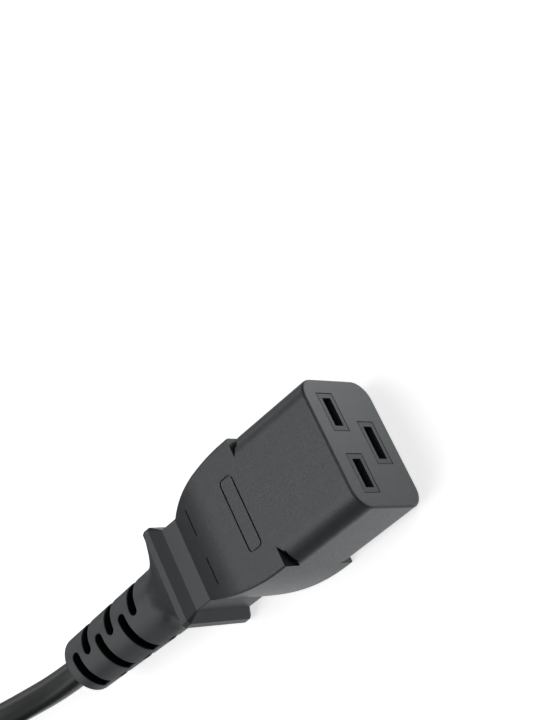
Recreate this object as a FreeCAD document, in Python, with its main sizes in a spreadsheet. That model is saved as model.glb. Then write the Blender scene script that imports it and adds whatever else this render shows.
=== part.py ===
"""A C19 connector moulded on a three-core cord, with the C20 plug on the cord's far end.

Millimetres, +Z up. The connector lies on its broad face with the mating face towards +X. The
origin is under the middle of the connector, on the surface that it lies on.

Each connector is drawn in a frame of its own: the mating face is the plane x = 0, the axis is
the X axis, and everything lies behind it, at negative x. Its objects are then placed as one.
"""
import FreeCAD, Part

import math
import os

import Sketcher

Vector = FreeCAD.Vector
doc = FreeCAD.newDocument("c19_power_connector")

SIZES = {
    # Nose of the connector, which goes into the C20 inlet.
    "nose_width": 27.4,
    "nose_thickness": 19.7,
    "nose_corner": 4.0,
    "nose_edge": 0.45,
    "nose_length": 20.2,
    # Foot of the nose: its round corners are cut away on a slant towards the shoulder.
    "foot_length": 1.5,
    "foot_start_clip": 2.2,
    "foot_end_clip": 4.2,
    # Housing behind the shoulder: straight, then curving in to the waist.
    "side_straight": 1.8,
    "side_curve": 19.3,
    "broad_straight": 10.8,
    "grip_edge": 0.5,
    # Neck and grip flange, shared by both connectors.
    "neck_width": 17.8,
    "neck_thickness": 15.1,
    "neck_length": 4.1,
    "neck_edge": 0.15,
    "flare_length": 1.9,
    "rim_width": 21.2,
    "rim_thickness": 18.4,
    "rim_corner": 0.75,
    "rim_length": 1.6,
    "rim_step": 0.2,
    "blend_length": 8.2,
    "blend_corner": 1.2,
    # Strain relief, shared by both connectors.
    "relief_length": 27.4,
    "relief_start_radius": 6.98,
    "relief_end_radius": 6.15,
    "relief_edge": 0.7,
    "window_first": 3.9,
    "window_pitch": 7.95,
    "window_stagger": 3.85,
    "window_width": 2.25,
    "window_floor": 4.1,
    "window_bar": 0.25,
    "window_rows": 3,
    # Engraved frame and rules on the upper broad face.
    "badge_centre": 24.4,
    "badge_length": 15.4,
    "badge_height": 3.6,
    "badge_corner": 1.1,
    "badge_line": 0.32,
    "badge_depth": 0.3,
    "rule_centre": 36.6,
    "rule_gap": 4.7,
    "rule_length": 5.7,
    "rule_line": 0.34,
    "rule_depth": 0.9,
    # Contact openings in the mating face.
    "power_pitch": 13.0,
    "row_offset": 8.0,
    "power_slot_length": 6.0,
    "earth_slot_length": 7.0,
    "slot_height": 2.35,
    # Contact carrier, the pre-moulded insert.
    "snout_wall": 1.13,
    "snout_length": 3.0,
    "snout_edge": 0.2,
    "carrier_width": 23.2,
    "carrier_thickness": 15.0,
    "carrier_corner": 2.0,
    "carrier_length": 19.4,
    "cavity_height": 4.4,
    "cavity_spare": 1.3,
    "slot_depth": 2.4,
    "cap_length": 2.2,
    "fit_clearance": 0.1,
    # Contacts: a bent brass fork, a tang and a crimp.
    "sheet_thickness": 0.5,
    "fork_start": 4.0,
    "fork_pinch": 2.8,
    "fork_straight": 8.0,
    "fork_length": 15.5,
    "fork_gap": 2.9,
    "pinch_gap": 1.7,
    "mouth_gap": 2.7,
    "fork_spare": 0.7,
    "tang_width": 2.4,
    "crimp_start": 26.0,
    "crimp_length": 4.6,
    "strand_radius": 0.95,
    # Cores inside the mouldings.
    "core_radius": 1.1,
    "core_bare": 0.8,
    "core_spread": 1.3,
    "jacket_front": 49.6,
    # Cord between the connector and the coil.
    "cord_radius": 3.0,
    "route_radius_share": 0.45,
    "lead_first_run": 8.5,
    "lead_last_run": 10.5,
    "entry_lead": 22.0,
    "entry_drop": 0.7,
    # Coil of the put-away length.
    "coil_x": -104.0,
    "coil_y": -27.0,
    "coil_turn_radius": 31.5,
    "coil_entry_angle": 82.0,
    "exit_lead": 42.0,
    # Cord between the coil and the plug: a half turn that climbs to the plug.
    "tail_turn_radius": 27.5,
    "tail_climb": 3.2,
    # Plug on the far end of the cord.
    "shroud_wall": 2.0,
    "shroud_clearance": 0.3,
    "shroud_length": 27.0,
    "shroud_depth": 22.0,
    "shroud_step": 0.7,
    "plug_side_curve": 17.2,
    "plug_broad_straight": 7.0,
    "pin_clearance": 0.2,
    "pin_tip": 0.6,
    "power_pin_length": 17.0,
    "earth_pin_length": 19.0,
    "bridge_width": 24.0,
    "bridge_thickness": 14.0,
    "bridge_length": 8.0,
    "pin_tail_length": 3.0,
    "barrel_length": 5.0,
    "plug_jacket_front": 56.0,
    "plug_end_x": -146.0,
    "plug_tilt": 6.0,
    "plug_rest_gap": 0.2,
}


class Size:
    """A number together with the spreadsheet formula that gives it."""

    def __init__(self, value, formula):
        self.value = value
        self.formula = formula

    def __float__(self):
        return float(self.value)

    def __add__(self, other):
        return joined(self, "+", other, float(self) + float(other))

    def __radd__(self, other):
        return joined(other, "+", self, float(other) + float(self))

    def __sub__(self, other):
        return joined(self, "-", other, float(self) - float(other))

    def __rsub__(self, other):
        return joined(other, "-", self, float(other) - float(self))

    def __mul__(self, other):
        return joined(self, "*", other, float(self) * float(other))

    def __rmul__(self, other):
        return joined(other, "*", self, float(other) * float(self))

    def __truediv__(self, other):
        return joined(self, "/", other, float(self) / float(other))

    def __neg__(self):
        return joined(-1, "*", self, -float(self))

    def sine(self):
        return Size(math.sin(math.radians(self.value)), f"sin({self.formula})")

    def cosine(self):
        return Size(math.cos(math.radians(self.value)), f"cos({self.formula})")


def formula_of(size):
    """The spreadsheet formula of a Size, or a plain number as text."""
    return size.formula if isinstance(size, Size) else repr(float(size))


def joined(left, sign, right, value):
    return Size(value, f"({formula_of(left)} {sign} {formula_of(right)})")


sheet = doc.addObject("Spreadsheet::Sheet", "Sizes")
for row, (alias, number) in enumerate(SIZES.items(), 1):
    sheet.set(f"A{row}", alias)
    sheet.set(f"B{row}", str(number))
    sheet.setAlias(f"B{row}", alias)
doc.recompute()


class Sizes:
    """Every cell of the sheet by its alias, as a Size."""

    def __getattr__(self, alias):
        return Size(getattr(sheet, alias), f"Sizes.{alias}")


s = Sizes()


# ---------------------------------------------------------------- document helpers


def bind(thing, **properties):
    """Bind properties to the sheet; a double underscore stands for a dot in the path."""
    for name, size in properties.items():
        thing.setExpression(name.replace("__", "."), formula_of(size))
    return thing


class Site:
    """Where the pieces drawn in one local frame stand: a name, an origin and a tilt about Y."""

    def __init__(self, name, origin, tilt=0.0):
        self.name = name
        self.origin = origin
        self.tilt = tilt

    def put(self, feature):
        """Stand a body or a plain shape, drawn in the local frame, in its place."""
        turn = FreeCAD.Rotation(Vector(0, -1, 0), float(self.tilt))
        feature.Placement = FreeCAD.Placement(Vector(*map(float, self.origin)), turn)
        x, y, z = self.origin
        bind(feature, Placement__Base__x=x, Placement__Base__y=y, Placement__Base__z=z)
        if float(self.tilt):
            bind(feature, Placement__Rotation__Angle=self.tilt)
        return feature

    def body(self, name):
        return self.put(self.inner_body(name))

    def inner_body(self, name):
        """A body in the local frame, to be taken into another body."""
        return doc.addObject("PartDesign::Body", f"{self.name}_{name}")

    def solid(self, name, shape):
        """A plain object for a form that only Part's own functions make."""
        feature = doc.addObject("Part::Feature", f"{self.name}_{name}")
        feature.Shape = shape
        return self.put(feature)

    def point(self, x, y=0.0, z=0.0):
        """A point of the local frame, in the frame of the whole."""
        turn = FreeCAD.Rotation(Vector(0, -1, 0), float(self.tilt))
        return turn.multVec(Vector(float(x), float(y), float(z))) + Vector(*map(float, self.origin))


def new_sketch(body, name, plane, offset=0.0):
    """A sketch on one of the body's own origin planes, moved along that plane's normal."""
    sketch = body.newObject("Sketcher::SketchObject", name)
    support = next(f for f in body.Origin.OriginFeatures if f.Role == plane)
    sketch.AttachmentSupport = [(support, "")]
    sketch.MapMode = "FlatFace"
    return bind(sketch, AttachmentOffset__Base__z=offset)


def arc_between(start, end, radius):
    """The arc from start to end; a positive radius turns left on the way, a negative one right."""
    chord = end - start
    reach = math.sqrt(max(radius * radius - chord.Length**2 / 4, 0.0))
    side = Vector(-chord.y, chord.x, 0).normalize()
    centre = (start + end) * 0.5 + side * math.copysign(reach, radius)
    first, last = (start, end) if radius > 0 else (end, start)
    angles = [math.atan2(p.y - centre.y, p.x - centre.x) for p in (first, last)]
    circle = Part.Circle(centre, Vector(0, 0, 1), abs(radius))
    return Part.ArcOfCircle(circle, angles[0], angles[1])


def draw(sketch, corners):
    """Draw a closed outline through corners (x, y) or (x, y, radius of the arc that follows)."""
    points = [Vector(float(c[0]), float(c[1]), 0) for c in corners]
    ends = []
    for i, corner in enumerate(corners):
        start, end = points[i], points[(i + 1) % len(points)]
        if len(corner) == 2:
            edge = sketch.addGeometry(Part.LineSegment(start, end), False)
            ends.append((edge, 1, 2))
            continue
        edge = sketch.addGeometry(arc_between(start, end, float(corner[2])), False)
        ends.append((edge, 1, 2) if float(corner[2]) > 0 else (edge, 2, 1))
        radius = corner[2] if float(corner[2]) > 0 else -corner[2]
        hold(sketch, radius, "Radius", edge)
    for i, corner in enumerate(corners):
        edge, start, _ = ends[i]
        before, _, end = ends[i - 1]
        sketch.addConstraint(Sketcher.Constraint("Coincident", before, end, edge, start))
        hold(sketch, corner[0], "DistanceX", -1, 1, edge, start)
        hold(sketch, corner[1], "DistanceY", -1, 1, edge, start)
    return sketch


def hold(sketch, size, kind, *places):
    """Add a dimension to the sketch and bind it to the sheet."""
    index = sketch.addConstraint(Sketcher.Constraint(kind, *places, float(size)))
    if isinstance(size, Size):
        sketch.setExpression(f"Constraints[{index}]", size.formula)


def rounded_rectangle(sketch, width, height, corner, middle=(0.0, 0.0)):
    """A rectangle round a middle point with equal corner radii."""
    across, up = width / 2, height / 2
    x, y = middle
    draw(
        sketch,
        [
            (x + across - corner, y - up, corner),
            (x + across, y - up + corner),
            (x + across, y + up - corner, corner),
            (x + across - corner, y + up),
            (x - across + corner, y + up, corner),
            (x - across, y + up - corner),
            (x - across, y - up + corner, corner),
            (x - across + corner, y - up),
        ],
    )
    return sketch


def clipped_rectangle(sketch, width, height, clip):
    """A rectangle round the axis with its corners cut off at 45 degrees."""
    across, up = width / 2, height / 2
    draw(
        sketch,
        [
            (across - clip, -up),
            (across, -up + clip),
            (across, up - clip),
            (across - clip, up),
            (-across + clip, up),
            (-across, up - clip),
            (-across, -up + clip),
            (-across + clip, -up),
        ],
    )
    return sketch


def pad(body, sketch, length, reverse=False):
    feature = body.newObject("PartDesign::Pad", f"{sketch.Name}_pad")
    feature.Profile = sketch
    feature.Reversed = reverse
    return bind(feature, Length=length)


def pocket(body, sketch, length, reverse=False):
    feature = body.newObject("PartDesign::Pocket", f"{sketch.Name}_pocket")
    feature.Profile = sketch
    feature.Reversed = reverse
    return bind(feature, Length=length)


def loft(body, name, sections, ruled):
    feature = body.newObject("PartDesign::AdditiveLoft", name)
    feature.Profile = sections[0]
    feature.Sections = sections[1:]
    feature.Ruled = ruled
    return feature


def revolve(body, sketch, angle=360.0):
    """Turn a sketch on the XZ plane about its own horizontal axis."""
    feature = body.newObject("PartDesign::Revolution", f"{sketch.Name}_turn")
    feature.Profile = sketch
    feature.ReferenceAxis = (sketch, ["H_Axis"])
    return bind(feature, Angle=angle)


def edges_at(shape, wanted):
    """Names of the edges for which wanted(middle of the edge, edge) holds."""
    names = []
    for number, edge in enumerate(shape.Edges, 1):
        middle = edge.valueAt((edge.FirstParameter + edge.LastParameter) / 2)
        if wanted(middle, edge):
            names.append(f"Edge{number}")
    return names


def dress(body, kind, name, wanted, size):
    """Fillet or chamfer the chosen edges of the body's last feature."""
    doc.recompute()
    base = body.Tip
    feature = body.newObject(f"PartDesign::{kind}", name)
    feature.Base = (base, edges_at(base.Shape, wanted))
    return bind(feature, **{"Radius" if kind == "Fillet" else "Size": size})


def combine(kind, name, shapes):
    """A Part boolean of several objects: MultiFuse or MultiCommon."""
    feature = doc.addObject(f"Part::{kind}", name)
    feature.Shapes = shapes
    feature.Refine = True
    return feature


def cut(name, base, tool):
    feature = doc.addObject("Part::Cut", name)
    feature.Base = base
    feature.Tool = tool
    feature.Refine = True
    return feature


# How far a cutting tool reaches past what it cuts.
SPARE = 1.0
finished = {}


def finish(node, feature):
    """Label a sub-part and list it for export."""
    feature.Label = node
    finished[node] = feature
    return feature


# ---------------------------------------------------------------- derived sizes

waist = s.nose_length + s.side_straight + s.side_curve
rear_length = s.neck_length + s.flare_length + s.rim_length + s.blend_length + s.relief_length
body_length = waist + rear_length
carrier_rear = s.snout_length + s.carrier_length
core_start = s.crimp_start + s.crimp_length + s.core_bare

shroud_margin = s.shroud_clearance + s.shroud_wall
shroud_width = s.nose_width + 2 * shroud_margin
shroud_thickness = s.nose_thickness + 2 * shroud_margin
plug_waist = s.shroud_length + s.side_straight + s.plug_side_curve
plug_length = plug_waist + rear_length
barrel_start = s.shroud_depth + s.bridge_length + s.pin_tail_length

cord_height = s.nose_thickness / 2
coil_height = 4 * s.cord_radius
inner_turn = s.coil_turn_radius - s.cord_radius
outer_turn = s.coil_turn_radius + s.cord_radius

# Openings of the three contacts: middle in Y and Z, and length of the slot.
OPENINGS = {
    "line": (s.power_pitch / 2, s.row_offset / 2, s.power_slot_length),
    "neutral": (-s.power_pitch / 2, s.row_offset / 2, s.power_slot_length),
    "earth": (0.0, -s.row_offset / 2, s.earth_slot_length),
}
# Direction of each core from the middle of the cord.
CORE_ANGLES = {"line": 30.0, "neutral": 150.0, "earth": 270.0}


def arc_radius(length, drop):
    """Radius of the arc that starts along the axis and moves sideways by drop over length."""
    return (length * length + drop * drop) / (2 * drop)


# ---------------------------------------------------------------- tubes


def tube(name, points, radius):
    """A round tube along straight runs joined by tangent arcs; its radii are printed."""
    edges = []
    radii = []
    start = points[0]
    for before, corner, after in zip(points, points[1:], points[2:]):
        back, ahead = before - corner, after - corner
        reach = float(s.route_radius_share) * min(back.Length, ahead.Length)
        half_turn = (math.pi - back.getAngle(ahead)) / 2
        bend = reach / math.tan(half_turn)
        radii.append(round(bend, 1))
        back.normalize()
        ahead.normalize()
        arc_start, arc_end = corner + back * reach, corner + ahead * reach
        bulge = bend * (1 / math.cos(half_turn) - 1)
        middle = corner + (back + ahead).normalize() * bulge
        edges.append(Part.makeLine(start, arc_start))
        edges.append(Part.Arc(arc_start, middle, arc_end).toShape())
        start = arc_end
    edges.append(Part.makeLine(start, points[-1]))
    path = Part.Wire(edges)
    ring = Part.Wire(Part.makeCircle(float(radius), points[0], points[1] - points[0]))
    shape = path.makePipeShell([ring], True, False)
    expected = math.pi * float(radius) ** 2 * path.Length
    print(f"{name}: length {path.Length:.1f}, radii {radii}, volume {shape.Volume / expected:.4f}")
    return shape


def core_route(y, z, start, end, angle):
    """Points from a contact at (y, z) to the core's place in the cord, in an easy S."""
    turned = math.radians(angle)
    last_y = float(s.core_spread) * math.cos(turned)
    last_z = float(s.core_spread) * math.sin(turned)
    points = []
    for along, across in [(0, 0), (0.2, 0), (0.4, 0.22), (0.6, 0.78), (0.8, 1), (1, 1)]:
        x = -float(start) - along * (float(end) - float(start))
        points.append(
            Vector(x, float(y) + across * (last_y - float(y)), float(z) + across * (last_z - float(z)))
        )
    return points


# ---------------------------------------------------------------- shared rear mouldings


def grip(site, start, side_curve, broad_straight, width, thickness):
    """The housing between the shoulder and the waist, its long edges a little rounded.

    It is curved in plan and in side view: what two outlines at right angles have in common.
    """
    length = s.side_straight + side_curve
    side_drop = width / 2 - s.neck_width / 2
    broad_drop = thickness / 2 - s.neck_thickness / 2
    plan = site.inner_body("plan")
    sketch = new_sketch(plan, f"{site.name}_plan_outline", "XY_Plane", -thickness / 2)
    radius = arc_radius(side_curve, side_drop)
    draw(
        sketch,
        [
            (-start, width / 2),
            (-start - s.side_straight, width / 2, radius),
            (-start - length, s.neck_width / 2),
            (-start - length, -s.neck_width / 2, radius),
            (-start - s.side_straight, -width / 2),
            (-start, -width / 2),
        ],
    )
    pad(plan, sketch, thickness)
    side = site.inner_body("side")
    sketch = new_sketch(side, f"{site.name}_side_outline", "XZ_Plane", -width / 2)
    radius = arc_radius(length - broad_straight, broad_drop)
    draw(
        sketch,
        [
            (-start, thickness / 2),
            (-start - broad_straight, thickness / 2, radius),
            (-start - length, s.neck_thickness / 2),
            (-start - length, -s.neck_thickness / 2, radius),
            (-start - broad_straight, -thickness / 2),
            (-start, -thickness / 2),
        ],
    )
    pad(side, sketch, width)
    body = site.body("grip")
    doc.recompute()
    common = body.newObject("PartDesign::Boolean", f"{site.name}_grip_common")
    common.Type = "Common"
    common.setObjects([plan, side])
    dress(
        body,
        "Fillet",
        f"{site.name}_grip_edge",
        lambda p, e: abs(e.Vertexes[0].X - e.Vertexes[-1].X) > 0.1,
        s.grip_edge,
    )
    return body


def flange(site, start):
    """Neck, flare and rim: straight walls between rectangles with clipped corners."""
    body = site.body("flange")
    neck_end = start + s.neck_length
    rim_start = neck_end + s.flare_length
    rim_end = rim_start + s.rim_length
    sections = []
    for number, (x, width, thickness, clip) in enumerate(
        [
            (start, s.neck_width, s.neck_thickness, s.neck_edge),
            (neck_end, s.neck_width, s.neck_thickness, s.neck_edge),
            (rim_start, s.rim_width, s.rim_thickness, s.rim_corner),
            (rim_end, s.rim_width, s.rim_thickness, s.rim_corner),
        ]
    ):
        sketch = new_sketch(body, f"{site.name}_flange_section_{number}", "YZ_Plane", -x)
        sections.append(clipped_rectangle(sketch, width, thickness, clip))
    loft(body, f"{site.name}_flange_loft", sections, True)
    return body


# Sections of the blend, the power of its sweep, and how near its last corners come to a circle.
BLEND_STEPS = 5
BLEND_POWER = 2.4
ROUND_SHARE = 0.985


def blend(site, start):
    """The hollow sweep from the square rim down to the round strain relief."""
    body = site.body("blend")
    sections = []
    for step in range(BLEND_STEPS):
        along = step / (BLEND_STEPS - 1)
        left = (1 - along) ** BLEND_POWER
        width = 2 * s.relief_start_radius + left * (
            s.rim_width - 2 * s.rim_step - 2 * s.relief_start_radius
        )
        thickness = 2 * s.relief_start_radius + left * (
            s.rim_thickness - 2 * s.rim_step - 2 * s.relief_start_radius
        )
        round_corner = s.relief_start_radius * ROUND_SHARE
        corner = s.blend_corner + (1 - left) * (round_corner - s.blend_corner)
        sketch = new_sketch(
            body, f"{site.name}_blend_section_{step}", "YZ_Plane", -start - along * s.blend_length
        )
        sections.append(rounded_rectangle(sketch, width, thickness, corner))
    loft(body, f"{site.name}_blend_loft", sections, False)
    return body


def relief(site, start):
    """The tapered sleeve round the cord, with a rounded end."""
    body = site.body("relief")
    sketch = new_sketch(body, f"{site.name}_relief_outline", "XZ_Plane")
    end = start + s.relief_length
    draw(
        sketch,
        [
            (-start, 0.0),
            (-start, s.relief_start_radius),
            (-end + s.relief_edge, s.relief_end_radius, s.relief_edge),
            (-end, s.relief_end_radius - s.relief_edge),
            (-end, 0.0),
        ],
    )
    revolve(body, sketch)
    return body


def window_cutter(site, middle):
    """One window of the strain relief: a quarter ring with one round end."""
    body = site.body("window")
    reach = s.relief_start_radius + s.window_width
    half = s.window_width / 2
    sketch = new_sketch(body, f"{site.name}_window_section", "XZ_Plane")
    draw(
        sketch,
        [
            (-middle - half, s.window_floor),
            (-middle + half, s.window_floor),
            (-middle + half, reach),
            (-middle - half, reach),
        ],
    )
    revolve(body, sketch, 90.0)
    sketch = new_sketch(body, f"{site.name}_window_end", "XY_Plane", s.window_floor)
    circle = Part.Circle(Vector(-float(middle), 0, 0), Vector(0, 0, 1), float(half))
    edge = sketch.addGeometry(circle, False)
    hold(sketch, half, "Radius", edge)
    hold(sketch, -middle, "DistanceX", -1, 1, edge, 3)
    sketch.addConstraint(Sketcher.Constraint("PointOnObject", edge, 3, -1))
    pad(body, sketch, reach - s.window_floor)
    return body


def relief_windows(site, start):
    """Both rows of windows in opposite pairs; a bar is left along the mould's parting plane."""
    cutter = window_cutter(site, start + s.window_first)
    doc.recompute()
    width = 4 * float(s.relief_start_radius)
    bar = Part.makeBox(
        float(rear_length),
        width,
        2 * float(s.window_bar),
        Vector(-float(start) - float(s.relief_length), -width / 2, -float(s.window_bar)),
    )
    near_side = cutter.Tip.Shape.cut(bar)
    far_side = near_side.mirror(Vector(0, 0, 0), Vector(0, 1, 0))
    near_side.translate(Vector(-float(s.window_stagger), 0, 0))
    windows = []
    for row in range(int(float(s.window_rows))):
        for window in (far_side, near_side):
            for turn in (0, 180):
                copy = window.copy()
                copy.rotate(Vector(0, 0, 0), Vector(1, 0, 0), turn)
                copy.translate(Vector(-row * float(s.window_pitch), 0, 0))
                windows.append(copy)
    return site.solid("windows", Part.Compound(windows))


def rear_mouldings(site, start):
    """Flange, blend and strain relief from the waist back, and the windows to cut in them."""
    rim_end = start + s.neck_length + s.flare_length + s.rim_length
    relief_start = rim_end + s.blend_length
    solids = [flange(site, start), blend(site, rim_end), relief(site, relief_start)]
    return solids, relief_windows(site, relief_start)


def cores(site, places, start, end):
    """The three cores between their contacts and the end of the jacket."""
    found = {}
    for name, (y, z, _) in places.items():
        route = core_route(y, z, start, end, CORE_ANGLES[name])
        found[name] = site.solid(f"{name}_core", tube(f"{site.name} {name} core", route, s.core_radius))
    return found


def round_bar(site, name, start, length, radius, y=0.0, z=0.0):
    """A round bar along the axis, or beside it at (y, z)."""
    body = site.body(name)
    sketch = new_sketch(body, f"{site.name}_{name}_circle", "YZ_Plane", -start)
    edge = sketch.addGeometry(
        Part.Circle(Vector(float(y), float(z), 0), Vector(0, 0, 1), float(radius)), False
    )
    hold(sketch, radius, "Radius", edge)
    for kind, size in (("DistanceX", y), ("DistanceY", z)):
        if float(size):
            hold(sketch, size, kind, -1, 1, edge, 3)
        else:
            axis = -2 if kind == "DistanceX" else -1
            sketch.addConstraint(Sketcher.Constraint("PointOnObject", edge, 3, axis))
    pad(body, sketch, length, reverse=True)
    return body


# ---------------------------------------------------------------- connector

connector = Site("connector", (body_length / 2, 0.0, cord_height))


def nose():
    """The straight front part, whose round corners are cut away at its foot."""
    body = connector.body("nose_bar")
    sketch = new_sketch(body, "connector_nose_outline", "YZ_Plane")
    rounded_rectangle(sketch, s.nose_width, s.nose_thickness, s.nose_corner)
    pad(body, sketch, s.nose_length, reverse=True)
    dress(body, "Fillet", "connector_nose_edge", lambda p, e: abs(p.x) < 1e-6, s.nose_edge)
    return combine("MultiCommon", "connector_nose", [body, nose_limit()])


def nose_limit():
    """A larger bar round the nose whose corners close in over the nose's foot."""
    body = connector.body("nose_limit")
    width, thickness = s.nose_width + 2 * SPARE, s.nose_thickness + 2 * SPARE
    sections = []
    for number, (x, clip) in enumerate(
        [
            (-SPARE, s.foot_start_clip),
            (s.nose_length - s.foot_length, s.foot_start_clip),
            (s.nose_length, s.foot_end_clip),
        ]
    ):
        sketch = new_sketch(body, f"connector_limit_{number}", "YZ_Plane", -x)
        sections.append(clipped_rectangle(sketch, width, thickness, clip + 2 * SPARE))
    loft(body, "connector_limit_loft", sections, True)
    return body


def engraving():
    """The plain engraved frame and the two short rules on the upper broad face."""
    frame = connector.body("badge")
    top = s.nose_thickness / 2
    centre = (-s.badge_centre, 0.0)
    sketch = new_sketch(frame, "badge_outside", "XY_Plane", top - s.badge_depth)
    rounded_rectangle(sketch, s.badge_height, s.badge_length, s.badge_corner, centre)
    pad(frame, sketch, 2 * s.badge_depth)
    sketch = new_sketch(frame, "badge_inside", "XY_Plane", top - s.badge_depth)
    line = s.badge_line
    rounded_rectangle(
        sketch, s.badge_height - 2 * line, s.badge_length - 2 * line, s.badge_corner - line, centre
    )
    pocket(frame, sketch, 2 * s.badge_depth, reverse=True)
    tools = [frame]
    for number, side in enumerate((1.0, -1.0)):
        rule = connector.body(f"rule_{number}")
        sketch = new_sketch(rule, f"rule_outline_{number}", "XY_Plane", top - s.rule_depth)
        near = side * s.rule_gap / 2
        far = side * (s.rule_gap / 2 + s.rule_length)
        low, high = (near, far) if side > 0 else (far, near)
        draw(
            sketch,
            [
                (-s.rule_centre - s.rule_line / 2, low),
                (-s.rule_centre + s.rule_line / 2, low),
                (-s.rule_centre + s.rule_line / 2, high),
                (-s.rule_centre - s.rule_line / 2, high),
            ],
        )
        pad(rule, sketch, 2 * s.rule_depth)
        tools.append(rule)
    return tools


def rectangle(sketch, width, height, middle):
    x, y = middle
    draw(
        sketch,
        [
            (x - width / 2, y - height / 2),
            (x + width / 2, y - height / 2),
            (x + width / 2, y + height / 2),
            (x - width / 2, y + height / 2),
        ],
    )
    return sketch


def carrier_envelope(name):
    """The carrier's outside: a block with three snouts that reach the mating face."""
    body = connector.body(name)
    sketch = new_sketch(body, f"{name}_block", "YZ_Plane", -s.snout_length)
    rounded_rectangle(sketch, s.carrier_width, s.carrier_thickness, s.carrier_corner)
    pad(body, sketch, s.carrier_length, reverse=True)
    for opening, (y, z, length) in OPENINGS.items():
        sketch = new_sketch(body, f"{name}_{opening}_snout", "YZ_Plane")
        rectangle(sketch, length + 2 * s.snout_wall, s.slot_height + 2 * s.snout_wall, (y, z))
        pad(body, sketch, s.snout_length, reverse=True)
    return body


def contact_carrier():
    body = carrier_envelope("carrier")
    dress(body, "Chamfer", "carrier_snout_edge", lambda p, e: abs(p.x) < 1e-6, s.snout_edge)
    for opening, (y, z, length) in OPENINGS.items():
        sketch = new_sketch(body, f"carrier_{opening}_slot", "YZ_Plane")
        rectangle(sketch, length, s.slot_height, (y, z))
        pocket(body, sketch, s.slot_depth)
        sketch = new_sketch(body, f"carrier_{opening}_cavity", "YZ_Plane", -carrier_rear)
        rectangle(sketch, length + s.cavity_spare, s.cavity_height, (y, z))
        pocket(body, sketch, carrier_rear - s.slot_depth, reverse=True)
    return body


def carrier_cap():
    """The plate that closes the carrier behind the contacts, with an opening for each tang."""
    body = connector.body("cap")
    sketch = new_sketch(body, "cap_outline", "YZ_Plane", -carrier_rear)
    rounded_rectangle(sketch, s.carrier_width, s.carrier_thickness, s.carrier_corner)
    pad(body, sketch, s.cap_length, reverse=True)
    for opening, (y, z, _) in OPENINGS.items():
        sketch = new_sketch(body, f"cap_{opening}_tang", "YZ_Plane", -carrier_rear)
        width = s.tang_width + 2 * s.fit_clearance
        height = s.sheet_thickness + 2 * s.fit_clearance
        middle = z - s.strand_radius - s.sheet_thickness / 2
        rectangle(sketch, width, height, (y, middle))
        pocket(body, sketch, s.cap_length)
    return body


def contact(name):
    """A female contact: two sprung leaves, a web, a tang and the crimp round the strands."""
    y, z, slot_length = OPENINGS[name]
    body = connector.body(f"{name}_contact")
    width = slot_length + s.fork_spare
    sketch = new_sketch(body, f"{name}_fork_side", "XZ_Plane", -y - width / 2)
    pinch = s.fork_start + s.fork_pinch
    straight = s.fork_start + s.fork_straight
    web = s.fork_start + s.fork_length
    leaf = [
        (s.fork_start, s.mouth_gap / 2),
        (pinch, s.pinch_gap / 2),
        (straight, s.fork_gap / 2),
        (web, s.fork_gap / 2),
    ]
    outline = [(-x, z + half) for x, half in leaf]
    outline += [(-x, z - half) for x, half in reversed(leaf)]
    outside = [(x, half + s.sheet_thickness) for x, half in leaf[:3]]
    outside.append((web + s.sheet_thickness, s.fork_gap / 2 + s.sheet_thickness))
    outline += [(-x, z - half) for x, half in outside]
    outline += [(-x, z + half) for x, half in reversed(outside)]
    draw(sketch, outline)
    pad(body, sketch, width)
    sketch = new_sketch(body, f"{name}_tang_section", "YZ_Plane", -web)
    middle = z - s.strand_radius - s.sheet_thickness / 2
    rectangle(sketch, s.tang_width, s.sheet_thickness, (y, middle))
    pad(body, sketch, s.crimp_start + s.crimp_length - web, reverse=True)
    sketch = new_sketch(body, f"{name}_crimp_section", "YZ_Plane", -s.crimp_start)
    circle = Part.Circle(
        Vector(float(y), float(z), 0), Vector(0, 0, 1), float(s.strand_radius + s.sheet_thickness)
    )
    for radius in (s.strand_radius + s.sheet_thickness, s.strand_radius):
        circle.Radius = float(radius)
        edge = sketch.addGeometry(circle, False)
        hold(sketch, radius, "Radius", edge)
        hold(sketch, z, "DistanceY", -1, 1, edge, 3)
        if float(y):
            hold(sketch, y, "DistanceX", -1, 1, edge, 3)
        else:
            sketch.addConstraint(Sketcher.Constraint("PointOnObject", edge, 3, -2))
    pad(body, sketch, s.crimp_length, reverse=True)
    return body


connector_rear, connector_windows = rear_mouldings(connector, waist)
connector_grip = grip(
    connector,
    s.nose_length,
    s.side_curve,
    s.broad_straight,
    s.nose_width,
    s.nose_thickness,
)
connector_outside = combine(
    "MultiFuse",
    "connector_outside",
    [nose(), connector_grip, *connector_rear],
)
finish("contact_carrier", contact_carrier())
finish("carrier_cap", carrier_cap())
connector_inside = [carrier_envelope("carrier_room"), finished["carrier_cap"]]
for contact_name, (y, z, _) in OPENINGS.items():
    finish(f"{contact_name}_contact", contact(contact_name))
    strands = round_bar(
        connector,
        f"{contact_name}_strands",
        s.crimp_start,
        s.crimp_length + s.core_bare,
        s.strand_radius,
        y,
        z,
    )
    finish(f"{contact_name}_strands", strands)
    connector_inside += [finished[f"{contact_name}_contact"], strands]
for contact_name, core in cores(connector, OPENINGS, core_start, s.jacket_front).items():
    finish(f"{contact_name}_core", core)
    connector_inside.append(core)
connector_jacket = round_bar(
    connector, "jacket_end", s.jacket_front, body_length - s.jacket_front, s.cord_radius
)
finish("jacket_end", connector_jacket)
connector_inside += [connector_jacket, connector_windows, *engraving()]
finish(
    "overmould_body",
    cut("overmould", connector_outside, combine("MultiFuse", "overmould_room", connector_inside)),
)


# ---------------------------------------------------------------- plug

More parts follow.
